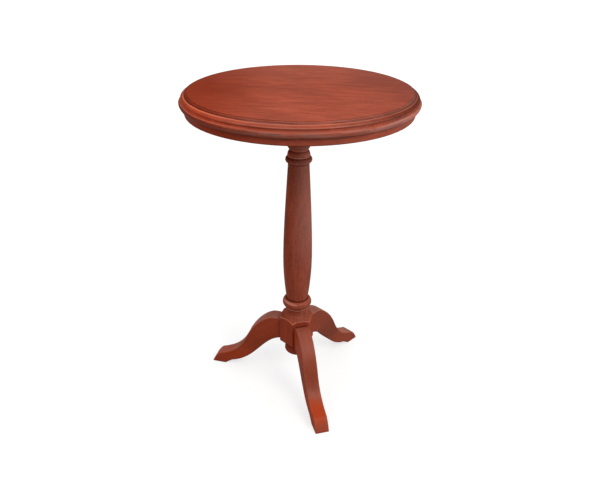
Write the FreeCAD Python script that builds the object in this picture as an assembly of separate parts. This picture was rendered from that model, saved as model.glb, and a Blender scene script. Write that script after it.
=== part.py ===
import FreeCAD, Part
import math
import os

from FreeCAD import Vector

# Tripod wine table. Millimetres, +Z up, origin on the floor under the column axis, front leg along -Y.

# Overall
TABLE_HEIGHT = 675.0
TOP_DIAMETER = 450.0

# Round top, glued up from boards with a loose tongue in each joint
TOP_THICKNESS = 25.0
BOARD_COUNT = 5
GRAIN_ANGLE = -26.0
TONGUE_THICKNESS = 5.0
TONGUE_WIDTH = 18.0
TONGUE_STOP = 8.0
TONGUE_SIDE_GAP = 0.1
TONGUE_EDGE_GAP = 0.5

# Moulded edge of the top, from the flat field outwards and down
QUIRK_DEPTH = 1.4
FILLET_WIDTH = 3.4
STEP_DEPTH = 3.2
STEP_LEDGE = 0.6
OVOLO_WIDTH = 8.0
OVOLO_DEPTH = 5.7
OVOLO_UNDERCUT = 1.6
COVE_WIDTH = 0.4
COVE_DEPTH = 5.3
NOSE_WIDTH = 3.4
NOSE_RISE = 1.8
NOSE_RETURN = 3.5

# Ring of apron segments under the edge
APRON_SETBACK = 9.0
APRON_WIDTH = 20.0
APRON_HEIGHT = 14.0
APRON_EASE = 1.2
APRON_SEGMENTS = 6
APRON_JOINT_ANGLE = -110.7

# Cross-grain bearer that ties the boards together and takes the column
BEARER_WIDTH = 90.0
BEARER_THICKNESS = 22.0
BEARER_END_MARGIN = 25.0
BEARER_CHAMFER = 9.0
BEARER_SCREW_SPACING = 54.0

# Slotted countersunk wood screws
SCREW_HEAD_DIAMETER = 8.4
SCREW_HEAD_HEIGHT = 2.6
SCREW_SHANK_DIAMETER = 4.0
SCREW_TIP_LENGTH = 4.0
SCREW_SLOT_WIDTH = 1.1
SCREW_SLOT_DEPTH = 1.2
SCREW_CLEARANCE = 0.1
BEARER_SCREW_LENGTH = 35.0
APRON_SCREW_LENGTH = 25.0

# Column, from the bearer down: round tenon, capital, neck, cup, collar and upper bead
TENON_DIAMETER = 32.0
TENON_CLEARANCE = 0.15
TENON_TOP_GAP = 1.0
WEDGE_THICKNESS = 4.0
WEDGE_POINT = 1.0
WEDGE_STOP = 4.0
DRUM_RADIUS = 34.0
DRUM_HEIGHT = 12.0
CAPITAL_COVE_HEIGHT = 28.3
CAPITAL_THROAT_RADIUS = 22.0
CAPITAL_FILLET_HEIGHT = 2.0
CAPITAL_BEAD_RADIUS = 24.5
CAPITAL_BEAD_HEIGHT = 28.5
NECK_RADIUS = 18.0
NECK_HEIGHT = 1.2
CUP_RADIUS = 22.8
CUP_HEIGHT = 8.5
COLLAR_RADIUS = 23.2
COLLAR_HEIGHT = 3.8
UPPER_BEAD_RADIUS = 27.0
UPPER_BEAD_HEIGHT = 12.3
TURNED_QUIRK = 1.5

# Column shaft, swelling to a belly above the lower bead
SHAFT_TOP_RADIUS = 21.4
BELLY_RADIUS = 31.1
BELLY_RISE = 102.0
SHAFT_FOOT_RADIUS = 23.4
SHAFT_UPPER_FULLNESS = 0.42
SHAFT_BELLY_FULLNESS = 0.95

# Column below the shaft: lower bead, fillet, cove, step and sloped shoulder of the block
LOWER_BEAD_RADIUS = 32.2
LOWER_BEAD_HEIGHT = 21.0
LOWER_FILLET_RADIUS = 25.0
LOWER_FILLET_HEIGHT = 4.0
BASE_COVE_HEIGHT = 15.0
BASE_COVE_THROAT = 22.5
SHOULDER_STEP_WIDTH = 1.0
SHOULDER_STEP_HEIGHT = 2.0
SHOULDER_WIDTH = 9.8
SHOULDER_RISE = 8.0

# Hexagonal block that takes the legs
BLOCK_ACROSS_FLATS = 69.0
BLOCK_RISE = 7.0
BLOCK_LIP = 3.0

# Three sawn cabriole legs, each with a sliding dovetail
LEG_COUNT = 3
LEG_REACH = 208.0
LEG_TOP = 157.0
LEG_ROOT_DEPTH = 53.5
LEG_ROOT_THICKNESS = 31.0
LEG_TOE_THICKNESS = 30.0
LEG_EASE = 1.5
DOVETAIL_DEPTH = 12.0
DOVETAIL_MOUTH = 13.0
DOVETAIL_FLARE = 2.5
DOVETAIL_STOP = 8.0
DOVETAIL_CLEARANCE = 0.15

# Turned drop under the block
DROP_COLLAR_RADIUS = 24.0
DROP_COLLAR_HEIGHT = 3.0
DROP_NECK_RADIUS = 17.0
DROP_NECK_HEIGHT = 9.0
DROP_RADIUS = 27.0
DROP_HALF_HEIGHT = 14.0
SPIGOT_DIAMETER = 16.0
SPIGOT_LENGTH = 18.0
SPIGOT_END_GAP = 1.0
SPIGOT_CLEARANCE = 0.15

# Places worked out from the sizes above
TOP_RADIUS = TOP_DIAMETER / 2
BOARD_WIDTH = TOP_DIAMETER / BOARD_COUNT
UNDERSIDE = TABLE_HEIGHT - TOP_THICKNESS
APRON_OUTER = TOP_RADIUS - APRON_SETBACK
APRON_INNER = APRON_OUTER - APRON_WIDTH
APRON_MIDDLE = APRON_OUTER - APRON_WIDTH / 2
APRON_BOTTOM = UNDERSIDE - APRON_HEIGHT
BEARER_LENGTH = 2 * (BOARD_WIDTH + BEARER_END_MARGIN)
BEARER_BOTTOM = UNDERSIDE - BEARER_THICKNESS
TENON_TOP = UNDERSIDE - TENON_TOP_GAP
BLOCK_FACE = BLOCK_ACROSS_FLATS / 2
BLOCK_CORNER = BLOCK_ACROSS_FLATS / math.sqrt(3)
SHOULDER_RADIUS = BLOCK_CORNER - SHOULDER_WIDTH
SHOULDER_STEP_RADIUS = SHOULDER_RADIUS - SHOULDER_STEP_WIDTH
LEG_SPAN = LEG_REACH - BLOCK_FACE
LEG_UNDERSIDE = LEG_TOP - LEG_ROOT_DEPTH
BLOCK_TOP = LEG_TOP + BLOCK_RISE
BLOCK_BOTTOM = LEG_UNDERSIDE - BLOCK_LIP
DOVETAIL_TOP = LEG_TOP - DOVETAIL_STOP
ORIGIN = Vector(0, 0, 0)
UP = Vector(0, 0, 1)
QUARTER_CURVE = 0.5523


def at(radius, height):
    return Vector(radius, 0, height)


def line(start, end):
    return Part.LineSegment(start, end).toShape()


def arc(start, middle, end):
    return Part.Arc(start, middle, end).toShape()


def curve(*poles):
    bezier = Part.BezierCurve()
    bezier.setPoles(list(poles))
    return bezier.toShape()


def polyline(points):
    return [line(a, b) for a, b in zip(points, points[1:])]


def turned(edges):
    """Turn a closed outline of radius and height about the upright axis."""
    return Part.Face(Part.Wire(edges)).revolve(ORIGIN, UP, 360)


def bead(inner_top, top, inner_bottom, bottom, radius):
    return arc(at(inner_top, top), at(radius, (top + bottom) / 2), at(inner_bottom, bottom))


def hollow(lip, throat):
    """Quarter-round cove, level at its outer lip and upright at its throat."""
    near_lip = at(lip.x - (lip.x - throat.x) * QUARTER_CURVE, lip.z)
    near_throat = at(throat.x, throat.z + (lip.z - throat.z) * QUARTER_CURVE)
    return curve(lip, near_lip, near_throat, throat)


def swell(top, side):
    """Quarter-round ovolo, level at its top and upright at its side."""
    near_top = at(top.x + (side.x - top.x) * QUARTER_CURVE, top.z)
    near_side = at(side.x, side.z + (top.z - side.z) * QUARTER_CURVE)
    return curve(top, near_top, near_side, side)


def turn(shape, angle):
    copy = shape.copy()
    copy.rotate(ORIGIN, UP, angle)
    return copy


def block(x_size, y_size, bottom, top):
    """Box centred on the axis between two heights."""
    return Part.makeBox(x_size, y_size, top - bottom, Vector(-x_size / 2, -y_size / 2, bottom))


def joint_offsets():
    return [BOARD_WIDTH * (i + 1) - TOP_RADIUS for i in range(BOARD_COUNT - 1)]


def bearer_screw_places():
    side = BEARER_SCREW_SPACING / 2
    corners = [(x, y) for x in (-side, side) for y in (-BOARD_WIDTH, BOARD_WIDTH)]
    return [turn(Part.Vertex(x, y, BEARER_BOTTOM), GRAIN_ANGLE).Point for x, y in corners]


def apron_screw_places():
    step = 360 / APRON_SEGMENTS
    angles = [APRON_JOINT_ANGLE + step * (i + part) for i in range(APRON_SEGMENTS) for part in (0.25, 0.75)]
    return [turn(Part.Vertex(APRON_MIDDLE, 0, APRON_BOTTOM), angle).Point for angle in angles]


def screw(length, gap=0.0):
    """Wood screw with its head at height zero and its point up. A gap makes the hole that it fits."""
    head = SCREW_HEAD_DIAMETER / 2 + gap
    shank = SCREW_SHANK_DIAMETER / 2 + gap
    outline = [
        at(0, 0), at(head, 0), at(shank, SCREW_HEAD_HEIGHT), at(shank, length - SCREW_TIP_LENGTH),
        at(0, length + gap), at(0, 0),
    ]
    body = turned(polyline(outline))
    if gap:
        return body
    return body.cut(block(2 * head, SCREW_SLOT_WIDTH, 0, SCREW_SLOT_DEPTH))


def at_places(shape, places):
    return [shape.translated(place) for place in places]


def screw_holes():
    holes = at_places(screw(BEARER_SCREW_LENGTH, SCREW_CLEARANCE), bearer_screw_places())
    return holes + at_places(screw(APRON_SCREW_LENGTH, SCREW_CLEARANCE), apron_screw_places())


def tongue(offset, side_gap=0.0, edge_gap=0.0):
    """Loose tongue in the board joint at an offset from the axis. Gaps make the groove that it fits."""
    reach = APRON_INNER - TONGUE_STOP
    length = 2 * math.sqrt(reach ** 2 - (abs(offset) + TONGUE_WIDTH / 2) ** 2) + 2 * edge_gap
    middle = TABLE_HEIGHT - TOP_THICKNESS / 2
    half = TONGUE_THICKNESS / 2 + side_gap
    strip = block(length, TONGUE_WIDTH + 2 * edge_gap, middle - half, middle + half)
    return turn(strip.translated(Vector(0, offset, 0)), GRAIN_ANGLE)


def top_disc():
    field = TOP_RADIUS - NOSE_WIDTH - COVE_WIDTH - OVOLO_WIDTH - STEP_LEDGE - FILLET_WIDTH
    field_edge = at(field, TABLE_HEIGHT)
    fillet_start = field_edge - at(0, QUIRK_DEPTH)
    fillet_end = fillet_start + at(FILLET_WIDTH, 0)
    step_foot = fillet_end - at(0, STEP_DEPTH)
    ovolo_top = step_foot + at(STEP_LEDGE, 0)
    ovolo_foot = ovolo_top + at(OVOLO_WIDTH, -OVOLO_DEPTH)
    throat = ovolo_foot - at(OVOLO_UNDERCUT, 0)
    cove_lip = ovolo_foot + at(COVE_WIDTH, -COVE_DEPTH)
    nose = at(TOP_RADIUS, cove_lip.z - NOSE_RISE)
    nose_foot = at(TOP_RADIUS - NOSE_RETURN, UNDERSIDE)
    return turned(polyline([
        at(0, UNDERSIDE), at(0, TABLE_HEIGHT), field_edge, fillet_start, fillet_end, step_foot, ovolo_top,
    ]) + [
        swell(ovolo_top, ovolo_foot),
        line(ovolo_foot, throat),
        hollow(cove_lip, throat),
        swell(cove_lip, nose),
        curve(nose, at(nose.x, (nose.z + nose_foot.z) / 2), nose_foot),
        line(nose_foot, at(0, UNDERSIDE)),
    ])


def top_boards():
    disc = top_disc().cut(screw_holes())
    grooves = [tongue(offset, TONGUE_SIDE_GAP, TONGUE_EDGE_GAP) for offset in joint_offsets()]
    disc = disc.cut(grooves)
    boards = []
    for i in range(BOARD_COUNT):
        middle = BOARD_WIDTH * (i + 0.5) - TOP_RADIUS
        strip = block(TOP_DIAMETER, BOARD_WIDTH, UNDERSIDE, TABLE_HEIGHT).translated(Vector(0, middle, 0))
        boards.append(disc.common(turn(strip, GRAIN_ANGLE)))
    return boards


def apron_segments():
    corner = APRON_EASE * (1 - math.sqrt(0.5))
    section = Part.Face(Part.Wire([
        line(at(APRON_INNER, UNDERSIDE), at(APRON_OUTER, UNDERSIDE)),
        line(at(APRON_OUTER, UNDERSIDE), at(APRON_OUTER, APRON_BOTTOM + APRON_EASE)),
        arc(at(APRON_OUTER, APRON_BOTTOM + APRON_EASE), at(APRON_OUTER - corner, APRON_BOTTOM + corner),
            at(APRON_OUTER - APRON_EASE, APRON_BOTTOM)),
        line(at(APRON_OUTER - APRON_EASE, APRON_BOTTOM), at(APRON_INNER, APRON_BOTTOM)),
        line(at(APRON_INNER, APRON_BOTTOM), at(APRON_INNER, UNDERSIDE)),
    ]))
    step = 360 / APRON_SEGMENTS
    sector = section.revolve(ORIGIN, UP, step)
    holes = screw_holes()
    return [turn(sector, APRON_JOINT_ANGLE + step * i).cut(holes) for i in range(APRON_SEGMENTS)]


def bearer():
    end = BEARER_LENGTH / 2
    chamfer_top = BEARER_BOTTOM + BEARER_CHAMFER
    side = [
        Vector(0, -end, UNDERSIDE), Vector(0, end, UNDERSIDE), Vector(0, end, chamfer_top),
        Vector(0, end - BEARER_CHAMFER, BEARER_BOTTOM), Vector(0, BEARER_CHAMFER - end, BEARER_BOTTOM),
        Vector(0, -end, chamfer_top), Vector(0, -end, UNDERSIDE),
    ]
    plank = Part.Face(Part.makePolygon(side)).extrude(Vector(BEARER_WIDTH, 0, 0))
    plank.translate(Vector(-BEARER_WIDTH / 2, 0, 0))
    bore = Part.makeCylinder(TENON_DIAMETER / 2 + TENON_CLEARANCE, BEARER_THICKNESS, at(0, BEARER_BOTTOM))
    return turn(plank, GRAIN_ANGLE).cut([bore] + screw_holes())


def tenon_wedge():
    """Wedge driven into the tenon's saw kerf, across the bearer's grain."""
    top = WEDGE_THICKNESS / 2
    point = WEDGE_POINT / 2
    foot = BEARER_BOTTOM + WEDGE_STOP
    corners = [
        at(-top, TENON_TOP), at(top, TENON_TOP), at(point, foot), at(-point, foot), at(-top, TENON_TOP),
    ]
    kerf = Part.Face(Part.makePolygon(corners)).extrude(Vector(0, TENON_DIAMETER, 0))
    kerf.translate(Vector(0, -TENON_DIAMETER / 2, 0))
    tenon = Part.makeCylinder(TENON_DIAMETER / 2, TENON_TOP - BEARER_BOTTOM, at(0, BEARER_BOTTOM))
    return turn(kerf.common(tenon), GRAIN_ANGLE + 90)


def column_turning():
    tenon = TENON_DIAMETER / 2
    drum_foot = BEARER_BOTTOM - DRUM_HEIGHT
    throat = drum_foot - CAPITAL_COVE_HEIGHT
    capital_bead = throat - CAPITAL_FILLET_HEIGHT
    neck_top = capital_bead - CAPITAL_BEAD_HEIGHT
    neck_foot = neck_top - NECK_HEIGHT
    cup_foot = neck_foot - CUP_HEIGHT
    collar_foot = cup_foot - COLLAR_HEIGHT
    shaft_top = collar_foot - UPPER_BEAD_HEIGHT
    shoulder_top = BLOCK_TOP + SHOULDER_RISE
    cove_foot = shoulder_top + SHOULDER_STEP_HEIGHT
    cove_top = cove_foot + BASE_COVE_HEIGHT
    fillet_top = cove_top + LOWER_FILLET_HEIGHT
    shaft_foot = fillet_top + LOWER_BEAD_HEIGHT
    belly = shaft_foot + BELLY_RISE
    bulge = BELLY_RADIUS - SHAFT_TOP_RADIUS
    third = (shaft_top - belly) / 3
    cup_quirk = CUP_RADIUS - TURNED_QUIRK
    collar_quirk = COLLAR_RADIUS - TURNED_QUIRK
    bead_quirk = SHAFT_TOP_RADIUS - TURNED_QUIRK
    capital = polyline([
        at(0, BLOCK_TOP), at(0, TENON_TOP), at(tenon, TENON_TOP), at(tenon, BEARER_BOTTOM),
        at(DRUM_RADIUS, BEARER_BOTTOM), at(DRUM_RADIUS, drum_foot),
    ]) + [
        hollow(at(DRUM_RADIUS, drum_foot), at(CAPITAL_THROAT_RADIUS, throat)),
        line(at(CAPITAL_THROAT_RADIUS, throat), at(CAPITAL_THROAT_RADIUS, capital_bead)),
        bead(CAPITAL_THROAT_RADIUS, capital_bead, NECK_RADIUS, neck_top, CAPITAL_BEAD_RADIUS),
        line(at(NECK_RADIUS, neck_top), at(NECK_RADIUS, neck_foot)),
        swell(at(NECK_RADIUS, neck_foot), at(CUP_RADIUS, cup_foot)),
        line(at(CUP_RADIUS, cup_foot), at(cup_quirk, cup_foot)),
        bead(cup_quirk, cup_foot, collar_quirk, collar_foot, COLLAR_RADIUS),
    ]
    shaft = [
        bead(collar_quirk, collar_foot, bead_quirk, shaft_top, UPPER_BEAD_RADIUS),
        line(at(bead_quirk, shaft_top), at(SHAFT_TOP_RADIUS, shaft_top)),
        curve(at(SHAFT_TOP_RADIUS, shaft_top),
              at(SHAFT_TOP_RADIUS + bulge * SHAFT_UPPER_FULLNESS, shaft_top - third),
              at(SHAFT_TOP_RADIUS + bulge * SHAFT_BELLY_FULLNESS, belly + third), at(BELLY_RADIUS, belly)),
        curve(at(BELLY_RADIUS, belly), at(BELLY_RADIUS, (belly + shaft_foot) / 2),
              at(SHAFT_FOOT_RADIUS, shaft_foot)),
    ]
    base = [
        bead(SHAFT_FOOT_RADIUS, shaft_foot, SHAFT_FOOT_RADIUS, fillet_top, LOWER_BEAD_RADIUS),
    ] + polyline([
        at(SHAFT_FOOT_RADIUS, fillet_top), at(LOWER_FILLET_RADIUS, fillet_top),
        at(LOWER_FILLET_RADIUS, cove_top), at(BASE_COVE_THROAT, cove_top),
    ]) + [
        hollow(at(SHOULDER_STEP_RADIUS, cove_foot), at(BASE_COVE_THROAT, cove_top)),
    ] + polyline([
        at(SHOULDER_STEP_RADIUS, cove_foot), at(SHOULDER_STEP_RADIUS, BLOCK_TOP), at(0, BLOCK_TOP),
    ])
    return turned(capital + shaft + base)


def leg_block():
    """Hexagonal block with its top turned to a sloped shoulder, which cuts each face in an arch."""
    angles = [math.radians(60 * i) for i in range(7)]
    corners = [Vector(BLOCK_CORNER * math.cos(a), BLOCK_CORNER * math.sin(a), BLOCK_BOTTOM) for a in angles]
    top = BLOCK_TOP + SHOULDER_RISE
    prism = Part.Face(Part.makePolygon(corners)).extrude(Vector(0, 0, top - BLOCK_BOTTOM))
    slope = SHOULDER_RISE / SHOULDER_WIDTH
    skirt = BLOCK_CORNER + BLOCK_LIP
    envelope = turned(polyline([
        at(0, BLOCK_BOTTOM), at(skirt, BLOCK_BOTTOM), at(skirt, BLOCK_TOP - BLOCK_LIP * slope),
        at(SHOULDER_RADIUS, top), at(0, top), at(0, BLOCK_BOTTOM),
    ]))
    return prism.common(envelope)


def leg_angles():
    return [360 / LEG_COUNT * i - 90 for i in range(LEG_COUNT)]


def dovetail(bottom, top, gap=0.0):
    """Dovetail on the leg's root, narrow at the block's face. A gap makes the socket that it fits."""
    mouth = DOVETAIL_MOUTH / 2 + gap
    inner = mouth + DOVETAIL_FLARE
    back = BLOCK_FACE - DOVETAIL_DEPTH - gap
    plan = [
        Vector(BLOCK_FACE, -mouth, bottom), Vector(BLOCK_FACE, mouth, bottom), Vector(back, inner, bottom),
        Vector(back, -inner, bottom), Vector(BLOCK_FACE, -mouth, bottom),
    ]
    return Part.Face(Part.makePolygon(plan)).extrude(Vector(0, 0, top - bottom))


def column():
    body = column_turning().fuse(leg_block()).removeSplitter()
    socket = dovetail(BLOCK_BOTTOM, DOVETAIL_TOP + DOVETAIL_CLEARANCE, DOVETAIL_CLEARANCE)
    cuts = [turn(socket, angle) for angle in leg_angles()]
    cuts.append(Part.makeCylinder(SPIGOT_DIAMETER / 2 + SPIGOT_CLEARANCE, SPIGOT_LENGTH + SPIGOT_END_GAP,
                                  at(0, BLOCK_BOTTOM)))
    cuts.append(tenon_wedge())
    return body.cut(cuts)


def leg_point(out, up):
    """Point of the leg's side outline, as shares of its span from the block and of its height."""
    return at(BLOCK_FACE + out * LEG_SPAN, up * LEG_TOP)


def leg_outline():
    root_top = leg_point(0, 0.978)
    knee = leg_point(0.462, 0.625)
    toe_top = leg_point(0.895, 0.172)
    toe_middle = leg_point(0.957, 0.093)
    toe = leg_point(1, 0)
    heel = leg_point(0.808, 0)
    heel_top = leg_point(0.715, 0.073)
    arch = leg_point(0.319, 0.388)
    root_foot = at(BLOCK_FACE, LEG_UNDERSIDE)
    return [
        curve(root_top, leg_point(0.165, 1.092), leg_point(0.382, 0.815), knee),
        curve(knee, leg_point(0.542, 0.435), leg_point(0.6, 0.272), toe_top),
        arc(toe_top, toe_middle, toe),
        line(toe, heel),
        line(heel, heel_top),
        curve(heel_top, leg_point(0.528, 0.128), leg_point(0.424, 0.256), arch),
        curve(arch, leg_point(0.214, 0.52), leg_point(0.126, 0.638), root_foot),
        line(root_foot, root_top),
    ]


def leg():
    plank = Part.Face(Part.Wire(leg_outline())).extrude(Vector(0, LEG_ROOT_THICKNESS, 0))
    plank.translate(Vector(0, -LEG_ROOT_THICKNESS / 2, 0))
    root = LEG_ROOT_THICKNESS / 2
    toe = LEG_TOE_THICKNESS / 2
    plan = [
        Vector(BLOCK_FACE, -root, 0), Vector(LEG_REACH, -toe, 0), Vector(LEG_REACH, toe, 0),
        Vector(BLOCK_FACE, root, 0), Vector(BLOCK_FACE, -root, 0),
    ]
    tapered = plank.common(Part.Face(Part.makePolygon(plan)).extrude(Vector(0, 0, LEG_TOP)))
    arrises = [edge for edge in tapered.Edges if is_long_arris(edge)]
    eased = tapered.makeFillet(LEG_EASE, arrises)
    return eased.fuse(dovetail(LEG_UNDERSIDE, DOVETAIL_TOP)).removeSplitter()


def is_long_arris(edge):
    """True for the edges along a leg's two sides, clear of the floor and of the block."""
    middle = edge.CenterOfMass
    beside = abs(middle.y) > LEG_TOE_THICKNESS / 4
    on_floor = edge.BoundBox.ZMax < LEG_EASE
    on_block = edge.BoundBox.XMax < BLOCK_FACE + LEG_EASE
    return beside and not on_floor and not on_block


def base_drop():
    spigot = SPIGOT_DIAMETER / 2
    collar = BLOCK_BOTTOM - DROP_COLLAR_HEIGHT
    bun_top = collar - DROP_NECK_HEIGHT
    middle = bun_top - DROP_HALF_HEIGHT
    bottom = middle - DROP_HALF_HEIGHT
    pull = DROP_HALF_HEIGHT * QUARTER_CURVE
    return turned(polyline([
        at(0, bottom), at(0, BLOCK_BOTTOM + SPIGOT_LENGTH), at(spigot, BLOCK_BOTTOM + SPIGOT_LENGTH),
        at(spigot, BLOCK_BOTTOM), at(DROP_COLLAR_RADIUS, BLOCK_BOTTOM), at(DROP_COLLAR_RADIUS, collar),
    ]) + [
        hollow(at(DROP_COLLAR_RADIUS, collar), at(DROP_NECK_RADIUS, bun_top)),
        swell(at(DROP_NECK_RADIUS, bun_top), at(DROP_RADIUS, middle)),
        curve(at(DROP_RADIUS, middle), at(DROP_RADIUS, middle - pull),
              at(DROP_RADIUS * QUARTER_CURVE, bottom), at(0, bottom)),
    ])


def main():
    os.makedirs("parts", exist_ok=True)
    nodes = {"bearer": bearer(), "column": column(), "tenon_wedge": tenon_wedge(), "base_drop": base_drop()}
    for number, board in enumerate(top_boards(), 1):
        nodes[f"top_board_{number}"] = board
    for number, offset in enumerate(joint_offsets(), 1):
        nodes[f"top_tongue_{number}"] = tongue(offset)
    for number, segment in enumerate(apron_segments(), 1):
        nodes[f"apron_segment_{number}"] = segment
    for number, angle in enumerate(leg_angles(), 1):
        nodes[f"leg_{number}"] = turn(leg(), angle)
    nodes["bearer_screws"] = Part.makeCompound(at_places(screw(BEARER_SCREW_LENGTH), bearer_screw_places()))
    nodes["apron_screws"] = Part.makeCompound(at_places(screw(APRON_SCREW_LENGTH), apron_screw_places()))
    for name, shape in nodes.items():
        print(name, shape.isValid(), len(shape.Solids), round(shape.Volume / 1000, 2))
        shape.exportStep(os.path.join("parts", name + ".step"))


main()
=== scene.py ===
import math
from typing import NamedTuple

import bpy
from mathutils import Matrix, Vector


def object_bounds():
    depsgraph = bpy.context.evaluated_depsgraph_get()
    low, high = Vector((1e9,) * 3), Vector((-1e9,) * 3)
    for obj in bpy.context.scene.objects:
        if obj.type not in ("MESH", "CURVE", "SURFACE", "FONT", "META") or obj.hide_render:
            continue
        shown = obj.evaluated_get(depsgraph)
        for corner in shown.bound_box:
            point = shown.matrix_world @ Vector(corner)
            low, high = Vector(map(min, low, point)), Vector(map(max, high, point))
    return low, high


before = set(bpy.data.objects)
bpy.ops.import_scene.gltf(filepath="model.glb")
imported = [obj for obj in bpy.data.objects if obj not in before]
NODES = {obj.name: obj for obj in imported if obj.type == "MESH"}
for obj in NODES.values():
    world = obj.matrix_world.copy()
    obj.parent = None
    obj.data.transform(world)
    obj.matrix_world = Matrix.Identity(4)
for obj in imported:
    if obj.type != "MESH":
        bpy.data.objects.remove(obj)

CAD_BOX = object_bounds()
UP = Vector((0, 0, 1))
WHITE = (1, 1, 1, 1)

# Camera, fitted to the photograph's frame of 600 by 500 pixels. Metres and degrees.
FRAME_WIDTH = 600
FOCAL_PIXELS = 596.5
SENSOR_WIDTH = 36.0
CAMERA_DISTANCE = 1.1225
CAMERA_HEIGHT = 0.9449
CAMERA_AZIMUTH = -16.06
CAMERA_YAW = -1.444
CAMERA_PITCH = 29.616
FRAME_SHIFT = (0.0259, 0.0173)

# Floor, in metres, and how far its colour is lifted to white near the table and far from it
FLOOR_RADIUS = 30.0
FLOOR_CORNERS = 96
FLOOR_COLOUR = (170, 170, 169)
FLOOR_LIFT_NEAR = 0.66
FLOOR_LIFT_FAR = 0.80
FLOOR_LIFT_REACH = (0.4, 4.0)

# Surrounding light by the height of its direction: a pale sweep near the floor, and a ceiling. Then the place
# that the lamps face, in metres.
SWEEP_HEIGHTS = (0.0, 0.12)
SWEEP_STRENGTHS = (0.3, 0.16)
CEILING_HEIGHTS = (0.25, 0.95)
LIGHT_TARGET = (0, 0, 0.45)


class Lamp(NamedTuple):
    """A round area light, in metres and watts."""
    place: tuple
    size: float
    power: float


LAMPS = {
    "key": Lamp((0.9, -1.8, 1.9), 1.2, 26.0),
    "side": Lamp((1.8, -0.6, 1.0), 1.0, 6.0),
    "fill": Lamp((-1.9, -0.6, 1.8), 1.2, 6.0),
}

# Grain directions in degrees. The boards run at GRAIN_ANGLE, and a leg's grain falls towards its toe.
GRAIN_ANGLE = -26.0
BOARDS = 5
APRON_JOINT_ANGLE = -110.7
APRON_SEGMENTS = 6
LEG_ANGLES = {"leg_1": -90.0, "leg_2": 30.0, "leg_3": 150.0}
LEG_GRAIN_FALL = 38.0

# Level directions in degrees from +X: the front, the way across the table to its side with the painted sheen,
# and then the ways that faces look which take the painted sheen, the deep orange with painted light on a leg,
# the painted light on a leg's other side, and the painted highlight on the bead
FRONT_SIDE = -105.0
ACROSS_SIDE = -15.0
SHEEN_SIDE = -30.0
DEEP_ORANGE_SIDE = -150.0
LIT_SIDE = 180.0
HIGHLIGHT_SIDE = -155.0

# Turns to a direction, as cosines, between which a mark grows from nothing to its full strength
SHEEN_TURN = (-0.5, 0.6)
FRONT_TURN = (0.80, 0.98)
DEEP_ORANGE_TURN = (0.3, 0.8)
LIT_TURN = (0.3, 0.9)
HIGHLIGHT_TURN = (0.4, 0.72)
UPWARD_TURN = (0.1, 0.9)
OPEN_TURN = (-0.3, 0.0)
LOWER_TURN = (0.1, -0.3)
SIDEWAYS_TURN = (0.05, 0.2)
ARRIS_TURN = (0.99, 0.93)

# Radii and heights on the top and the apron, in metres, from the table's own width and height
TOP_RADIUS = CAD_BOX[1][0]
TABLE_TOP = CAD_BOX[1][2]
APRON_RADIUS = TOP_RADIUS - 0.009
APRON_FOOT = TABLE_TOP - 0.0390


def rim_place(inset, depth):
    """Radius and height on the top's moulding, from the top's widest circle and its upper face."""
    return TOP_RADIUS - inset, TABLE_TOP - depth


FIELD_RADIUS = TOP_RADIUS - 0.0158
NOSE_ROOT = TOP_RADIUS - 0.012
STEP_EDGE = rim_place(0.0124, 0.0014)
OVOLO_CROWN = rim_place(0.0095, 0.0050)
OVOLO_SIDE = rim_place(0.0042, 0.0084)
NOSE_LIP = rim_place(0.0030, 0.0156)
STEP_FOOT = TABLE_TOP - 0.0046
OVOLO_FOOT = TABLE_TOP - 0.0103
NOSE_MIDDLE = TABLE_TOP - 0.0215
NOSE_FOOT = TABLE_TOP - 0.0250
BAND_BLUR = 0.0004
LIP_BLUR = 0.0006
FIELD_BLUR = 0.0008
ROOT_BLUR = 0.001

# Places of the column's marks, in metres, among them its painted highlights, painted shade, painted light and
# painted sheen: circles as a radius and a height, then heights
TURNED_CROWNS = ((0.0229, 0.5461), (0.0250, 0.1912))
TURNED_GROOVES = ((0.0214, 0.5315), (0.0234, 0.2140), (0.0245, 0.1938), (0.0232, 0.1885))
BEAD_SHINE = (0.0285, 0.2105)
CUP_RISE = (0.5435, 0.5475)
CUP_FALL = (0.5590, 0.5620)
UPPER_SHAFT = (0.26, 0.42)
BLOCK_SHOULDER = 0.168
BLOCK_BLUR = 0.004

# Heights on a leg, in metres: where painted light falls on the foot, the shin above it with its painted
# shade, the root and the toe, and how far these heights wander
SWEEP_RISE = (0.012, 0.028)
SWEEP_FALL = (0.035, 0.051)
SHIN_RISE = (0.050, 0.062)
SHIN_FALL = (0.085, 0.120)
ROOT_RISE = (0.08, 0.13)
TOE_FALL = (0.018, 0.030)
RAGGED_EDGE = 0.006

# Widths of the lines of painted shade and painted highlight along the mouldings, in metres, and the share of
# a width that has the full strength
STEP_LINE = 0.0020
HIGHLIGHT_LINE = 0.0016
CROWN_HIGHLIGHT_LINE = 0.0022
GROOVE_LINE = 0.0026
BEAD_LINE = 0.0044
APRON_EDGE = 0.0025
LINE_CORE = 0.3

# Colours as sRGB
# Dark colour for pores and board joints, and for painted shade in recesses, grooves, on the moulding, on the
# column's front, on the shin and along lower edges
SHADE_AND_STAIN = (60, 20, 10)
# Deeper orange, mixed in towards one side of the table, on the block and on one side of each leg
DEEP_ORANGE = (146, 44, 10)
# Light colour for worn arrises, which also paints highlights on them and on the crowns of the mouldings
WEAR_AND_HIGHLIGHT = (236, 150, 118)
# Pale veil painted over the wood as the reflection of the studio's light: a painted sheen
PAINTED_SHEEN = (210, 180, 170)
# Painted highlight on the column's lower bead
BEAD_HIGHLIGHT = (214, 150, 134)
# Painted light: a lighter orange for the feet and toes, where light falls on them
LIT_ORANGE = (174, 58, 14)
SCREW_STEEL = (150, 147, 142)
SCREW_STAIN = (96, 84, 72)


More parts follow.
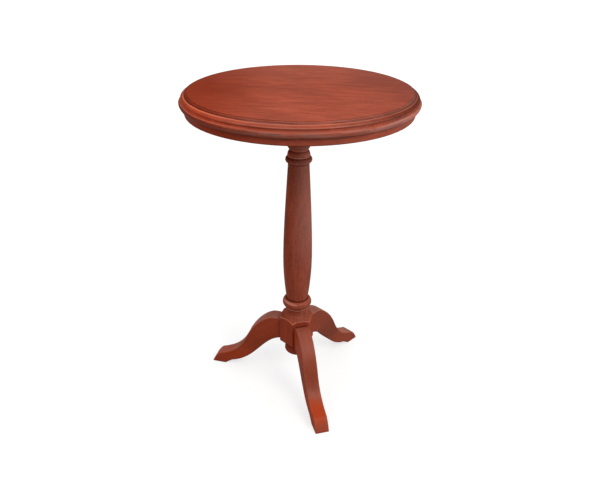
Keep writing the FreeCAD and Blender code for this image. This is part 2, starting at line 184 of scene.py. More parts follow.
class Finish(NamedTuple):
    """How a piece's wood is stained and worn.

    The stain is three sRGB colours, from the darkest grain to the lightest. The figure is a multiple of the
    grain's contrast. In metres, the worn width is that of an arris with wear and a painted highlight, and
    crisp_above is the height above which arrises are crisp. The rest are shares of 1: the mottle, the painted
    sheen, the painted shade in recesses, and the wear and painted highlight on arrises.
    """
    stain: tuple
    figure: float = 1.0
    mottle: float = 0.10
    haze: float = 0.03
    haze_above: float = 0.0
    sheen_aside: float = 0.0
    recess_shade: float = 0.75
    worn_highlight: float = 0.0018
    crisp_above: float = 1.0
    worn_and_highlit: float = 1.0


TOP = Finish(
    stain=((143, 57, 36), (158, 67, 43), (170, 76, 52)),
    figure=1.4, mottle=0.13, haze=0.005, recess_shade=0.15, worn_and_highlit=0.1,
)
APRON = Finish(
    stain=((137, 54, 32), (153, 62, 38), (166, 72, 46)),
    haze=0.01, sheen_aside=0.05,
)
COLUMN = Finish(
    stain=((128, 52, 31), (142, 59, 35), (156, 70, 45)),
    mottle=0.14, haze=0.01, sheen_aside=0.03, recess_shade=0.5, worn_highlight=0.0036, crisp_above=BLOCK_SHOULDER,
)
FRONT_LEG = Finish(
    stain=((126, 51, 30), (141, 59, 35), (155, 69, 44)),
    figure=0.6, mottle=0.12, haze=0.0, haze_above=0.05, sheen_aside=0.03, recess_shade=0.45, worn_highlight=0.0040, worn_and_highlit=0.3,
)
BACK_LEG = FRONT_LEG._replace(haze_above=0.15)
LEG_FINISHES = {"leg_1": FRONT_LEG, "leg_2": BACK_LEG, "leg_3": BACK_LEG}
INNER = Finish(stain=((118, 84, 54), (150, 112, 76), (172, 134, 96)))


class Across(NamedTuple):
    """A value on the side of the table in deeper orange, in the middle, and on the side with the painted
    sheen.
    """
    deep_side: float
    middle: float
    sheen_side: float


class Bands(NamedTuple):
    """A value on the top's field and on each band of its moulding, from the field outwards."""
    field: object
    step: object
    ovolo: object
    cove: object
    nose: object


# Where a value across the table changes, in metres from the axis
ACROSS_INNER = 0.02
ACROSS_OUTER = 0.19

# The top's painted light and shade, its painted sheen and deep orange, the strength of its painted highlight
# lines, and the apron's deep orange
TOP_SHADE = Bands(
    field=Across(0.85, 1.01, 0.82),
    step=Across(0.80, 0.90, 0.48),
    ovolo=Across(1.32, 0.94, 0.36),
    cove=Across(1.70, 1.20, 0.65),
    nose=Across(0.66, 0.87, 0.95),
)
TOP_SHEEN = Bands(
    field=Across(0.0, 0.04, 0.045),
    step=Across(0.0, 0.12, 0.10),
    ovolo=Across(0.0, 0.06, 0.01),
    cove=Across(0.0, 0.04, 0.04),
    nose=Across(0.0, 0.11, 0.20),
)
TOP_DEEP_ORANGE = Across(0.5, 0.0, 0.0)
HIGHLIGHT_LINES = (
    (OVOLO_CROWN, Across(0.55, 0.55, 0.25)),
    (NOSE_LIP, Across(0.45, 0.25, 0.10)),
    (OVOLO_SIDE, Across(0.0, 0.35, 0.0)),
)
APRON_DEEP_ORANGE = Across(0.7, 0.12, 0.0)

# How the top's painted light, shade and sheen change from its back to its front, and where painted shade
# falls on its step, its far ovolo and under its nose. A reach is in metres from the axis towards the front.
BACK_REACH = (-0.18, 0.0)
FRONT_REACH = (0.05, 0.19)
BACK_SHADE = 0.94
FRONT_SHADE = 1.07
BACK_SHEEN = 0.03
STEP_SHADE_REACH = (0.12, -0.02)
STEP_SHADE = 0.55
FAR_SHADE_REACH = (0.05, -0.03)
FAR_SHADE = 0.5
UNDER_NOSE_SHADE = 0.4

# Streaks along the moulding: how many to a metre, how far they are drawn out along it, and what they do to
# brightness and to the painted sheen
STREAK_SCALE = (420.0, 420.0, 420.0)
STREAK_SQUEEZE = 0.05
STREAK_SHADE = (1.1, 0.9)
STREAK_SHEEN = (0.2, 1.8)

# Strengths of the marks on the apron, the column and the legs, as shares of 1 or as brightness. Most are
# painted
# shade, light, sheen or highlight: the apron's edge, the upper shaft, the cup, the column's front and
# grooves, its crowns and bead, and the legs' feet, shins, sides and toes
APRON_EDGE_SHADE = 0.75
UPPER_SHAFT_SHEEN = 0.105
CUP_SHADE = 1.6
BLOCK_DEEP_ORANGE = 0.4
BLOCK_SHADE = 1.14
COLUMN_FRONT_SHADE = 0.12
GROOVE_SHADE = 0.85
CROWN_HIGHLIGHT = 0.55
BEAD_SHINE_STRENGTHS = (0.05, 0.55)
LEG_LIT_ORANGE = {"leg_1": 0.8, "leg_2": 0.1, "leg_3": 0.35}
SHIN_SHADE = 0.22
SIDE_DEEP_ORANGE = 0.3
SIDE_SHADE = 1.07
LIT_GAIN = 0.4
LIT_SHARE_BELOW = 0.35
TOE_LIT_ORANGE = 0.2
TOE_SHADE = 1.06


class Speckle(NamedTuple):
    """Fine spots in the polish: how many to a metre, then the brightness of the darkest and the lightest."""
    scale: tuple
    dark: float
    light: float


TOP_SPECKLE = Speckle((300.0, 300.0, 300.0), 0.92, 1.08)
COLUMN_SPECKLE = Speckle((260.0, 260.0, 210.0), 0.82, 1.16)

# Grain and stains. Scales are changes to a metre, along the grain first, the sway is in metres, and the rest
# are shares of 1 or levels of noise.
SWAY_SCALE = (2.4, 7.0, 7.0)
SWAY = 0.006
RIBBON_SCALE = (15.0, 85.0, 85.0)
STRIPE_SCALE = (22.0, 240.0, 240.0)
FIBRE_SCALE = (40.0, 850.0, 850.0)
PORE_SCALE = (95.0, 2100.0, 2100.0)
BLOTCH_SCALE = (9.0, 13.0, 13.0)
RAGGED_SCALE = (70.0, 70.0, 70.0)
SCREW_STAIN_SCALE = (900.0, 900.0, 900.0)
STRIPE_SHARE = 0.7
FIBRE_SHARE = 0.3
FIGURE_MIDDLE = 1.0
FIGURE_SPREAD = 0.42
PORE_LEVELS = (0.62, 0.70)
PORE_STAIN = 0.3
NOISE_LEVELS = (0.3, 0.7)
RAGGED_LEVELS = (0.2, 0.8)
SCREW_STAIN_LEVELS = (0.4, 0.7)

# Seeds of the grain. Pieces of a kind count on from theirs.
SEEDS = {
    "top": 3, "apron": 10, "leg": 20, "tongue": 40,
    "column": 31, "base_drop": 32, "bearer": 33, "tenon_wedge": 34,
}
SEED_STEP = (1.37, 0.71, 0.43)

# Wear and painted highlight on arrises, and painted shade in shelter and on lower arrises. Reaches, blurs and
# the lines at joints are in metres, and the rest are shares of 1.
SHELTER_REACH = 0.0045
SHELTER_LEVELS = (0.35, 0.9)
OPEN_LEVELS = (0.8, 0.95)
WEAR_AND_HIGHLIGHT_LEVELS = (0.35, 0.65)
WEAR_AND_HIGHLIGHT_SHARES = (0.6, 1.0)
SHEEN_MOTTLE = (1.2, 0.8)
CRISP_SHARE = 0.35
CRISP_BLUR = 0.002
LOWER_EDGE_SHADE = 0.85
SEAM_CLEAR = (0.002, 0.004)
SEAM_LINE = (0.0002, 0.0005)
SEAM_STAIN = 0.5

# Surface of the wood and the screws
WOOD_ROUGHNESS = (0.60, 0.50)
COAT_WEIGHT = 0.12
COAT_ROUGHNESS = 0.32
RELIEF_FIBRES = 0.4
RELIEF_PORES = -0.8
RELIEF_STRENGTH = 0.2
RELIEF_DEPTH = 0.0003
STEEL_ROUGHNESS = (0.35, 0.6)


def linear(colour):
    """Scene-linear RGBA from an sRGB colour of 0 to 255."""
    share = [c / 255 for c in colour]
    return [c / 12.92 if c <= 0.04045 else ((c + 0.055) / 1.055) ** 2.4 for c in share] + [1.0]


def level(angle):
    """Level direction at an angle from +X, in degrees."""
    return Vector((math.cos(math.radians(angle)), math.sin(math.radians(angle)), 0.0))


class Graph:
    """Short calls for building the node tree of a material or a world."""

    def __init__(self, holder):
        self.holder = holder
        holder.use_nodes = True
        self.tree = holder.node_tree
        self.tree.nodes.clear()

    def add(self, kind, inputs=(), **settings):
        made = self.tree.nodes.new(kind)
        for key, value in settings.items():
            setattr(made, key, value)
        for key, value in dict(inputs).items():
            self.feed(made.inputs[key], value)
        return made

    def feed(self, socket, value):
        if isinstance(value, bpy.types.NodeSocket):
            self.tree.links.new(value, socket)
        else:
            socket.default_value = value

    def math(self, operation, first, second=0.0):
        return self.add("ShaderNodeMath", {0: first, 1: second}, operation=operation).outputs[0]

    def product(self, *values):
        result = values[0]
        for value in values[1:]:
            result = self.math("MULTIPLY", result, value)
        return result

    def total(self, *values):
        result = values[0]
        for value in values[1:]:
            result = self.math("ADD", result, value)
        return result

    def vector(self, operation, first, second):
        return self.add("ShaderNodeVectorMath", {0: first, 1: second}, operation=operation).outputs[0]

    def dot(self, first, second):
        made = self.add("ShaderNodeVectorMath", {0: first, 1: second}, operation="DOT_PRODUCT")
        return made.outputs["Value"]

    def noise(self, vector, scale, detail=2.0, roughness=0.5):
        stretched = self.vector("MULTIPLY", vector, scale)
        inputs = {"Vector": stretched, "Scale": 1.0, "Detail": detail, "Roughness": roughness}
        return self.add("ShaderNodeTexNoise", inputs).outputs["Fac"]

    def span(self, value, low, high, start=0.0, end=1.0):
        """Smooth step from start, where the value is low, to end, where it is high."""
        inputs = {"Value": value, "From Min": low, "From Max": high, "To Min": start, "To Max": end}
        return self.add("ShaderNodeMapRange", inputs, interpolation_type="SMOOTHSTEP").outputs[0]

    def spread(self, noise, start, end):
        """Noise, most of which lies between two levels, set out from start to end."""
        return self.span(noise, *NOISE_LEVELS, start, end)

    def window(self, value, rise, fall):
        """One between a rise and a fall, and nothing outside them."""
        return self.product(self.span(value, *rise), self.span(value, *reversed(fall)))

    def gain(self, share, brightness):
        """Brightness where the share is one, and one where it is nothing."""
        return self.span(share, 0.0, 1.0, 1.0, brightness)

    def mix(self, factor, first, second, blend="MIX"):
        made = self.add("ShaderNodeMix", data_type="RGBA", blend_type=blend)
        for key, value in ((0, factor), (6, first), (7, second)):
            self.feed(made.inputs[key], value)
        return made.outputs[2]

    def tint(self, colour, brightness):
        """Colour times a grey level."""
        grey = self.add("ShaderNodeCombineColor", {key: brightness for key in range(3)}).outputs[0]
        return self.mix(1.0, colour, grey, "MULTIPLY")

    def blend(self, factor, first, second):
        """Number between two numbers."""
        made = self.add("ShaderNodeMix", data_type="FLOAT")
        for key, value in ((0, factor), (2, first), (3, second)):
            self.feed(made.inputs[key], value)
        return made.outputs[0]

    def ramp(self, factor, colours):
        made = self.add("ShaderNodeValToRGB", {"Fac": factor})
        stops = made.color_ramp.elements
        while len(stops) < len(colours):
            stops.new(0.5)
        for i, colour in enumerate(colours):
            stops[i].position = i / (len(colours) - 1)
            stops[i].color = linear(colour)
        return made.outputs["Color"]

    def place(self):
        return self.add("ShaderNodeTexCoord").outputs["Object"]

    def normal(self):
        return self.add("ShaderNodeNewGeometry").outputs["Normal"]

    def facing(self, direction):
        """How far a face looks in a direction, from one down to minus one."""
        return self.dot(self.normal(), direction)

    def height(self):
        return self.add("ShaderNodeSeparateXYZ", {0: self.place()}).outputs["Z"]

    def radius(self):
        flat = self.vector("MULTIPLY", self.place(), (1, 1, 0))
        return self.add("ShaderNodeVectorMath", {0: flat}, operation="LENGTH").outputs["Value"]

    def surface(self, inputs):
        shader = self.add("ShaderNodeBsdfPrincipled", inputs)
        self.add("ShaderNodeOutputMaterial", {"Surface": shader.outputs[0]})
        return self.holder


def grain_space(graph, direction, seed):
    """Coordinates with X along the grain, in metres, moved by a seed so that no two pieces match."""
    inverse = Vector(direction).to_track_quat("X", "Z").to_matrix().inverted()
    offset = [seed * step for step in SEED_STEP]
    inputs = {"Vector": graph.place(), "Rotation": inverse.to_euler(), "Location": offset}
    straight = graph.add("ShaderNodeMapping", inputs, vector_type="POINT").outputs[0]
    sway = graph.span(graph.noise(straight, SWAY_SCALE), 0.0, 1.0, -SWAY, SWAY)
    drift = graph.add("ShaderNodeCombineXYZ", {"Y": sway, "Z": sway}).outputs[0]
    return graph.vector("ADD", straight, drift)


def board_seam(graph):
    """Distance to the nearest joint between two boards of the top."""
    half = TOP_RADIUS / BOARDS
    crosswise = graph.dot(graph.place(), level(GRAIN_ANGLE + 90))
    return graph.math("PINGPONG", graph.math("SUBTRACT", crosswise, half), half)


def apron_seam(graph):
    """Distance to the nearest joint between two segments of the apron."""
    parts = graph.add("ShaderNodeSeparateXYZ", {0: graph.place()}).outputs
    angle = graph.math("ARCTAN2", parts["Y"], parts["X"])
    turn = graph.math("SUBTRACT", angle, math.radians(APRON_JOINT_ANGLE))
    return graph.product(graph.math("PINGPONG", turn, math.pi / APRON_SEGMENTS), APRON_RADIUS)


def ring(graph, place, width):
    """One along a circle round the axis, falling to nothing at a distance of width."""
    aside = graph.math("SUBTRACT", graph.radius(), place[0])
    above = graph.math("SUBTRACT", graph.height(), place[1])
    square = graph.total(graph.product(aside, aside), graph.product(above, above))
    return graph.span(graph.math("SQRT", square), width, width * LINE_CORE)


def sheen_side(graph):
    """One on faces that look to the side with the painted sheen, and nothing on those that look away from it.
    """
    return graph.span(graph.facing(level(SHEEN_SIDE)), *SHEEN_TURN)


def across(graph, value):
    """Value across the table, from its deep orange side over the middle to its painted sheen side."""
    aside = graph.dot(graph.place(), level(ACROSS_SIDE))
    near_stain = graph.span(aside, -ACROSS_OUTER, -ACROSS_INNER, value.deep_side, value.middle)
    near_haze = graph.span(aside, ACROSS_INNER, ACROSS_OUTER, 0.0, value.sheen_side - value.middle)
    return graph.total(near_stain, near_haze)


def speckled(graph, colour, speckle):
    """Colour with fine spots of polish."""
    spots = graph.noise(graph.place(), speckle.scale, detail=3.0, roughness=0.7)
    return graph.tint(colour, graph.spread(spots, speckle.dark, speckle.light))


def rim_shares(graph):
    """One on each band of the moulding and on those outside it, from the step to the nose."""
    height = graph.height()
    lip = NOSE_LIP[1]
    return Bands(
        field=1.0,
        step=graph.span(graph.radius(), FIELD_RADIUS, FIELD_RADIUS + FIELD_BLUR),
        ovolo=graph.span(height, STEP_FOOT + BAND_BLUR, STEP_FOOT - BAND_BLUR),
        cove=graph.span(height, OVOLO_FOOT + BAND_BLUR, OVOLO_FOOT - BAND_BLUR),
        nose=graph.span(height, lip + LIP_BLUR, lip - BAND_BLUR),
    )


def banded(graph, shares, bands):
    """Value of the band that a point lies in."""
    value = across(graph, bands.field)
    for share, band in zip(shares[1:], bands[1:]):
        value = graph.blend(share, value, across(graph, band))
    return value


def rim_streaks(graph):
    """Noise drawn out along the moulding, as turning and polishing leave it."""
    around = graph.product(graph.dot(graph.place(), level(ACROSS_SIDE)), STREAK_SQUEEZE)
    inputs = {"X": graph.radius(), "Y": graph.height(), "Z": around}
    turned = graph.add("ShaderNodeCombineXYZ", inputs).outputs[0]
    return graph.noise(turned, STREAK_SCALE)


def highlight_lines(graph):
    """Painted highlight lines along the crowns of the moulding."""
    strongest = 0.0
    for place, strength in HIGHLIGHT_LINES:
        line = graph.product(ring(graph, place, HIGHLIGHT_LINE), across(graph, strength))
        strongest = graph.math("MAXIMUM", strongest, line)
    return strongest


def top_marks(graph, colour, wear_and_highlight):
    """Speckles, deep orange, painted light, shade and sheen, and painted highlight lines on the field and
    moulding.
    """
    front = graph.dot(graph.place(), level(FRONT_SIDE))
    shares = rim_shares(graph)
    streaks = rim_streaks(graph)
    colour = speckled(graph, colour, TOP_SPECKLE)
    # Deeper orange towards one side of the top
    colour = graph.mix(across(graph, TOP_DEEP_ORANGE), colour, linear(DEEP_ORANGE))

    # Painted light and shade: darker at the back, lighter at the front, and each band lighter or darker
    # across the table
    back_shade = graph.span(front, *BACK_REACH, BACK_SHADE, 1.0)
    front_shade = graph.span(front, *FRONT_REACH, 1.0, FRONT_SHADE)
    streak_shade = graph.blend(shares.step, 1.0, graph.spread(streaks, *STREAK_SHADE))
    shade = banded(graph, shares, TOP_SHADE)
    colour = graph.tint(colour, graph.product(shade, back_shade, front_shade, streak_shade))

    # Painted sheen: a pale veil for reflected light on each band, stronger at the back
    back_sheen = graph.span(front, *BACK_REACH, BACK_SHEEN, 0.0)
    streak_sheen = graph.blend(shares.step, 1.0, graph.spread(streaks, *STREAK_SHEEN))
    sheen_veil = graph.product(banded(graph, shares, TOP_SHEEN), streak_sheen)
    colour = graph.mix(graph.total(sheen_veil, back_sheen), colour, linear(PAINTED_SHEEN))

    # Painted shade along the step's edge, away from the front
    step_shade = graph.span(front, *STEP_SHADE_REACH, 0.0, STEP_SHADE)
    step_shade = graph.product(ring(graph, STEP_EDGE, STEP_LINE), step_shade)
    colour = graph.mix(step_shade, colour, linear(SHADE_AND_STAIN))
    # Painted shade on the far side of the ovolo
    far_shade = graph.product(shares.ovolo, graph.span(front, *FAR_SHADE_REACH, 0.0, FAR_SHADE))
    colour = graph.mix(far_shade, colour, linear(SHADE_AND_STAIN))
    # Painted highlight lines along the crowns of the moulding
    colour = graph.mix(graph.product(highlight_lines(graph), wear_and_highlight), colour, linear(WEAR_AND_HIGHLIGHT))
    # Painted shade under the nose
    outside = graph.span(graph.radius(), NOSE_ROOT - ROOT_BLUR, NOSE_ROOT + ROOT_BLUR)
    under = graph.span(graph.height(), NOSE_MIDDLE, NOSE_FOOT, 0.0, UNDER_NOSE_SHADE)
    return graph.mix(graph.product(outside, under), colour, linear(SHADE_AND_STAIN))


def column_marks(graph, colour, wear_and_highlight):
    """Speckles, painted sheen and shade, painted light on the cup, a lighter deep orange block, painted
    highlights.
    """
    height = graph.height()
    colour = speckled(graph, colour, COLUMN_SPECKLE)
    # Painted sheen on the upper shaft, on faces turned to one side
    upper_sheen = graph.product(sheen_side(graph), graph.span(height, *UPPER_SHAFT, 0.0, UPPER_SHAFT_SHEEN))
    colour = graph.mix(upper_sheen, colour, linear(PAINTED_SHEEN))
    # Painted light: the cup under the top is lightened
    colour = graph.tint(colour, graph.gain(graph.window(height, CUP_RISE, CUP_FALL), CUP_SHADE))
    # The block in deeper orange, then lightened
    on_block = graph.span(height, BLOCK_SHOULDER, BLOCK_SHOULDER - BLOCK_BLUR)
    colour = graph.mix(graph.product(on_block, BLOCK_DEEP_ORANGE), colour, linear(DEEP_ORANGE))
    colour = graph.tint(colour, graph.gain(on_block, BLOCK_SHADE))
    # Painted shade down the column's faces that look to the front
    front_shade_streak = graph.span(graph.facing(level(FRONT_SIDE)), *FRONT_TURN, 0.0, COLUMN_FRONT_SHADE)
    colour = graph.mix(front_shade_streak, colour, linear(SHADE_AND_STAIN))
    # Painted shade in the grooves
    for groove in TURNED_GROOVES:
        stain = graph.product(ring(graph, groove, GROOVE_LINE), GROOVE_SHADE)
        colour = graph.mix(stain, colour, linear(SHADE_AND_STAIN))
    # Painted highlights on the turned crowns
    for crown in TURNED_CROWNS:
        worn_highlight = graph.product(ring(graph, crown, CROWN_HIGHLIGHT_LINE), wear_and_highlight, CROWN_HIGHLIGHT)
        colour = graph.mix(worn_highlight, colour, linear(WEAR_AND_HIGHLIGHT))
    # Painted highlight on the lower bead, on faces turned to one side
    worn_and_highlit = graph.span(graph.facing(level(HIGHLIGHT_SIDE)), *HIGHLIGHT_TURN)
    strength = graph.span(worn_and_highlit, 0.0, 1.0, *BEAD_SHINE_STRENGTHS)
    shine = graph.product(ring(graph, BEAD_SHINE, BEAD_LINE), strength)
    return graph.mix(shine, colour, linear(BEAD_HIGHLIGHT))


def apron_marks(graph, colour, wear_and_highlight):
    """Deeper orange on one side of the apron, and painted shade along its lower edge."""
    # Deeper orange towards one side of the apron
    colour = graph.mix(across(graph, APRON_DEEP_ORANGE), colour, linear(DEEP_ORANGE))
    # Painted shade along the apron's lower edge
    edge = graph.span(graph.height(), APRON_FOOT + APRON_EDGE, APRON_FOOT, 0.0, APRON_EDGE_SHADE)
    return graph.mix(edge, colour, linear(SHADE_AND_STAIN))


def leg_marks(lit_orange):
    """Painted light on the foot, toe and sides, painted shade on the shin, and deep orange on one side."""
    def marks(graph, colour, wear_and_highlight):
        ragged = graph.noise(graph.place(), RAGGED_SCALE, detail=3.0)
        height = graph.total(graph.height(), graph.span(ragged, *RAGGED_LEVELS, -RAGGED_EDGE, RAGGED_EDGE))
        # Painted light on the foot's sweep: a lighter orange where light falls on it
        above = graph.span(graph.facing(UP), *OPEN_TURN)
        sweep = graph.product(graph.window(height, SWEEP_RISE, SWEEP_FALL), above, lit_orange)
        colour = graph.mix(sweep, colour, linear(LIT_ORANGE))
        # Painted shade on the shin
        shin = graph.product(graph.window(height, SHIN_RISE, SHIN_FALL), SHIN_SHADE)
        colour = graph.mix(shin, colour, linear(SHADE_AND_STAIN))
        # Deep orange on one side, lightened there with painted light
        deep_side = graph.span(graph.facing(level(DEEP_ORANGE_SIDE)), *DEEP_ORANGE_TURN)
        colour = graph.mix(graph.product(deep_side, SIDE_DEEP_ORANGE), colour, linear(DEEP_ORANGE))
        colour = graph.tint(colour, graph.gain(deep_side, SIDE_SHADE))
        # Painted light on another side, strongest near the root
        side_light = graph.span(graph.facing(level(LIT_SIDE)), *LIT_TURN, 0.0, LIT_GAIN)
        side_light = graph.product(side_light, graph.span(height, *ROOT_RISE, LIT_SHARE_BELOW, 1.0))
        colour = graph.tint(colour, graph.total(side_light, 1.0))
        # Painted light on the toe: a lighter orange and a brighter tint
        on_toe = graph.span(height, *reversed(TOE_FALL))
        colour = graph.mix(graph.product(on_toe, lit_orange, TOE_LIT_ORANGE), colour, linear(LIT_ORANGE))
        return graph.tint(colour, graph.gain(on_toe, TOE_SHADE))
    return marks


def wood(name, direction, seed, finish, marks=None, seam=None, worn_highlight_across=None):
    """Stained straight-grained mahogany, fine pores, painted sheen, painted shade in recesses, highlit worn
    arrises.

    With a direction to wear across, only arrises whose rounding leans along it are worn and highlit.
    """
    g = Graph(bpy.data.materials.new(name))
    space = grain_space(g, direction, seed)
    ribbons = g.noise(space, RIBBON_SCALE, detail=3.0, roughness=0.6)
    stripes = g.noise(space, STRIPE_SCALE, detail=3.0, roughness=0.6)
    fibres = g.noise(space, FIBRE_SCALE)
    pores = g.span(g.noise(space, PORE_SCALE, detail=1.0), *PORE_LEVELS)
    blotch = g.noise(space, BLOTCH_SCALE, detail=3.0)

    figure = g.total(ribbons, g.product(stripes, STRIPE_SHARE), g.product(fibres, FIBRE_SHARE))
    reach = FIGURE_SPREAD / finish.figure
    grain = g.span(figure, FIGURE_MIDDLE - reach, FIGURE_MIDDLE + reach)
    colour = g.ramp(grain, finish.stain)
    colour = g.tint(colour, g.spread(blotch, 1.0 - finish.mottle, 1.0 + finish.mottle))
    colour = g.mix(g.product(pores, PORE_STAIN), colour, linear(SHADE_AND_STAIN))
    # Painted sheen: a pale veil for reflected light, on upward faces, on faces turned to one side and all
    # over, mottled
    haze_above = g.span(g.facing(UP), *UPWARD_TURN, 0.0, finish.haze_above)
    haze = g.total(haze_above, g.product(sheen_side(g), finish.sheen_aside), finish.haze)
    colour = g.mix(g.product(haze, g.spread(blotch, *SHEEN_MOTTLE)), colour, linear(PAINTED_SHEEN))

    shelter = g.add("ShaderNodeAmbientOcclusion", {"Distance": SHELTER_REACH}, samples=8).outputs["AO"]
    crisp_from = finish.crisp_above - CRISP_BLUR
    crisp_to = finish.crisp_above + CRISP_BLUR
    worn_highlight_width = g.span(g.height(), crisp_from, crisp_to, finish.worn_highlight, finish.worn_highlight * CRISP_SHARE)
    soft_normal = g.add("ShaderNodeBevel", {"Radius": worn_highlight_width}, samples=6).outputs[0]
    wear_and_highlight = g.span(blotch, *WEAR_AND_HIGHLIGHT_LEVELS, *WEAR_AND_HIGHLIGHT_SHARES)
    arris = g.span(g.dot(soft_normal, g.normal()), *ARRIS_TURN)
    edge = g.product(arris, g.span(shelter, *OPEN_LEVELS), wear_and_highlight, finish.worn_and_highlit)
    lower = g.span(g.dot(soft_normal, UP), *LOWER_TURN)
    if worn_highlight_across:
        sideways = g.math("ABSOLUTE", g.dot(soft_normal, worn_highlight_across))
        edge = g.product(edge, g.span(sideways, *SIDEWAYS_TURN))
    if seam:
        distance = seam(g)
        clear = g.span(distance, *SEAM_CLEAR)
        edge = g.product(edge, clear)
        normals = g.add("ShaderNodeMix", {0: clear, 4: g.normal(), 5: soft_normal}, data_type="VECTOR")
        soft_normal = normals.outputs[1]
        colour = g.mix(g.span(distance, *SEAM_LINE, SEAM_STAIN, 0.0), colour, linear(SHADE_AND_STAIN))
    if marks:
        colour = marks(g, colour, wear_and_highlight)
    # Worn arrises with a painted highlight, and painted shade on arrises that face down
    colour = g.mix(g.product(edge, g.math("SUBTRACT", 1.0, lower)), colour, linear(WEAR_AND_HIGHLIGHT))
    colour = g.mix(g.product(edge, lower, LOWER_EDGE_SHADE), colour, linear(SHADE_AND_STAIN))
    # Painted shade in recesses
    colour = g.mix(g.span(shelter, *SHELTER_LEVELS, finish.recess_shade, 0.0), colour, linear(SHADE_AND_STAIN))

    relief = g.total(g.product(fibres, RELIEF_FIBRES), g.product(pores, RELIEF_PORES))
    bump_inputs = {
        "Height": relief, "Normal": soft_normal, "Strength": RELIEF_STRENGTH, "Distance": RELIEF_DEPTH,
    }
    bump = g.add("ShaderNodeBump", bump_inputs).outputs[0]
    return g.surface({
        "Base Color": colour, "Roughness": g.span(grain, 0.0, 1.0, *WOOD_ROUGHNESS), "Normal": bump,
        "Specular IOR Level": 0.0, "Coat Weight": COAT_WEIGHT, "Coat Roughness": COAT_ROUGHNESS,
    })


def steel(name):
    """Dull zinc with a little stain."""
    g = Graph(bpy.data.materials.new(name))
    stains = g.noise(g.place(), SCREW_STAIN_SCALE, detail=3.0)
    colour = g.mix(g.span(stains, *SCREW_STAIN_LEVELS), linear(SCREW_STEEL), linear(SCREW_STAIN))
    return g.surface({"Base Color": colour, "Metallic": 1.0, "Roughness": g.spread(stains, *STEEL_ROUGHNESS)})


def dress(node, material):
    NODES[node].data.materials.clear()
    NODES[node].data.materials.append(material)


def dress_top():
    along = level(GRAIN_ANGLE)
    crosswise = level(GRAIN_ANGLE + 90)
    top = wood("top_wood", along, SEEDS["top"], TOP, top_marks, board_seam)
    for number in range(1, BOARDS + 1):
        dress(f"top_board_{number}", top)
    for number in range(1, BOARDS):
        dress(f"top_tongue_{number}", wood(f"tongue_wood_{number}", along, SEEDS["tongue"] + number, INNER))
    dress("bearer", wood("bearer_wood", crosswise, SEEDS["bearer"], INNER))


def dress_apron():
    for number in range(1, APRON_SEGMENTS + 1):
        middle = APRON_JOINT_ANGLE + 360 / APRON_SEGMENTS * (number - 0.5)
        name = f"apron_wood_{number}"
        seed = SEEDS["apron"] + number
        dress(f"apron_segment_{number}", wood(name, level(middle + 90), seed, APRON, apron_marks, apron_seam))


def dress_legs():
    fall = math.radians(LEG_GRAIN_FALL)
    for number, (leg, angle) in enumerate(LEG_ANGLES.items()):
        direction = level(angle) * math.cos(fall) - UP * math.sin(fall)
        marks = leg_marks(LEG_LIT_ORANGE[leg])
        sideways = level(angle + 90)
        name = f"leg_wood_{number + 1}"
        seed = SEEDS["leg"] + number
        dress(leg, wood(name, direction, seed, LEG_FINISHES[leg], marks, worn_highlight_across=sideways))


def dress_column():
    dress("column", wood("column_wood", UP, SEEDS["column"], COLUMN, column_marks, worn_highlight_across=UP))
    dress("base_drop", wood("drop_wood", UP, SEEDS["base_drop"], COLUMN, column_marks))
    dress("tenon_wedge", wood("wedge_wood", UP, SEEDS["tenon_wedge"], INNER))


def dress_screws():
    metal = steel("screw_steel")
    for screws in ("bearer_screws", "apron_screws"):
        dress(screws, metal)


def make_camera():
    data = bpy.data.cameras.new("camera")
    data.sensor_width = SENSOR_WIDTH
    data.lens = FOCAL_PIXELS / FRAME_WIDTH * SENSOR_WIDTH
    data.shift_x, data.shift_y = FRAME_SHIFT
    camera = bpy.data.objects.new("camera", data)
    bpy.context.scene.collection.objects.link(camera)
    azimuth = math.radians(CAMERA_AZIMUTH)
    place = Vector((math.sin(azimuth), -math.cos(azimuth), 0)) * CAMERA_DISTANCE
    place.z = CAMERA_HEIGHT
    turn = Matrix.Rotation(math.radians(CAMERA_AZIMUTH - CAMERA_YAW), 4, "Z")
    tilt = Matrix.Rotation(math.radians(90 - CAMERA_PITCH), 4, "X")
    camera.matrix_world = Matrix.Translation(place) @ turn @ tilt
    bpy.context.scene.camera = camera


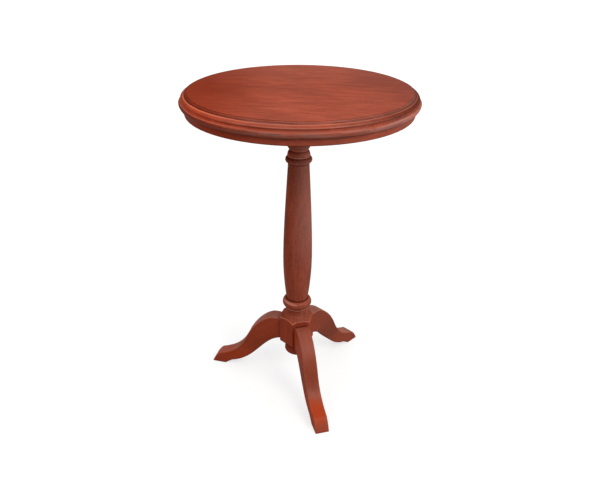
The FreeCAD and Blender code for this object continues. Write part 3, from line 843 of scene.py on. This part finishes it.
def make_floor():
    """Pale floor that shows as white, and still takes the table's shadow."""
    bpy.ops.mesh.primitive_circle_add(vertices=FLOOR_CORNERS, radius=FLOOR_RADIUS, fill_type="NGON")
    floor = bpy.context.object
    floor.name = "floor"
    g = Graph(bpy.data.materials.new("floor_white"))
    rays = g.add("ShaderNodeLightPath").outputs
    seen = g.math("MAXIMUM", rays["Is Camera Ray"], rays["Is Glossy Ray"])
    seen = g.math("MAXIMUM", seen, rays["Is Transmission Ray"])
    lift = g.product(seen, g.span(g.radius(), *FLOOR_LIFT_REACH, FLOOR_LIFT_NEAR, FLOOR_LIFT_FAR))
    matte = g.add("ShaderNodeBsdfDiffuse", {"Color": linear(FLOOR_COLOUR)}).outputs[0]
    glow = g.add("ShaderNodeEmission", {"Color": WHITE, "Strength": lift}).outputs[0]
    both = g.add("ShaderNodeAddShader", {0: matte, 1: glow}).outputs[0]
    g.add("ShaderNodeOutputMaterial", {"Surface": both})
    floor.data.materials.append(g.holder)


def make_lamps():
    for name, lamp in LAMPS.items():
        data = bpy.data.lights.new(name, "AREA")
        data.shape = "DISK"
        data.size = lamp.size
        data.energy = lamp.power
        made = bpy.data.objects.new(name, data)
        bpy.context.scene.collection.objects.link(made)
        made.location = lamp.place
        made.rotation_mode = "QUATERNION"
        made.rotation_quaternion = (Vector(LIGHT_TARGET) - Vector(lamp.place)).to_track_quat("-Z", "Y")


def make_surroundings():
    """Soft light from all round, which the camera sees as white."""
    world = bpy.data.worlds.new("studio")
    bpy.context.scene.world = world
    g = Graph(world)
    direction = g.add("ShaderNodeTexCoord").outputs["Generated"]
    height = g.add("ShaderNodeSeparateXYZ", {0: direction}).outputs["Z"]
    light = g.total(g.span(height, *SWEEP_HEIGHTS, *SWEEP_STRENGTHS), g.span(height, *CEILING_HEIGHTS))
    seen = g.add("ShaderNodeLightPath").outputs["Is Camera Ray"]
    strength = g.blend(seen, light, 1.0)
    sky = g.add("ShaderNodeBackground", {"Color": WHITE, "Strength": strength}).outputs[0]
    g.add("ShaderNodeOutputWorld", {"Surface": sky})


dress_top()
dress_apron()
dress_legs()
dress_column()
dress_screws()
make_camera()
make_floor()
make_lamps()
make_surroundings()
bpy.context.scene.view_settings.view_transform = "Standard"
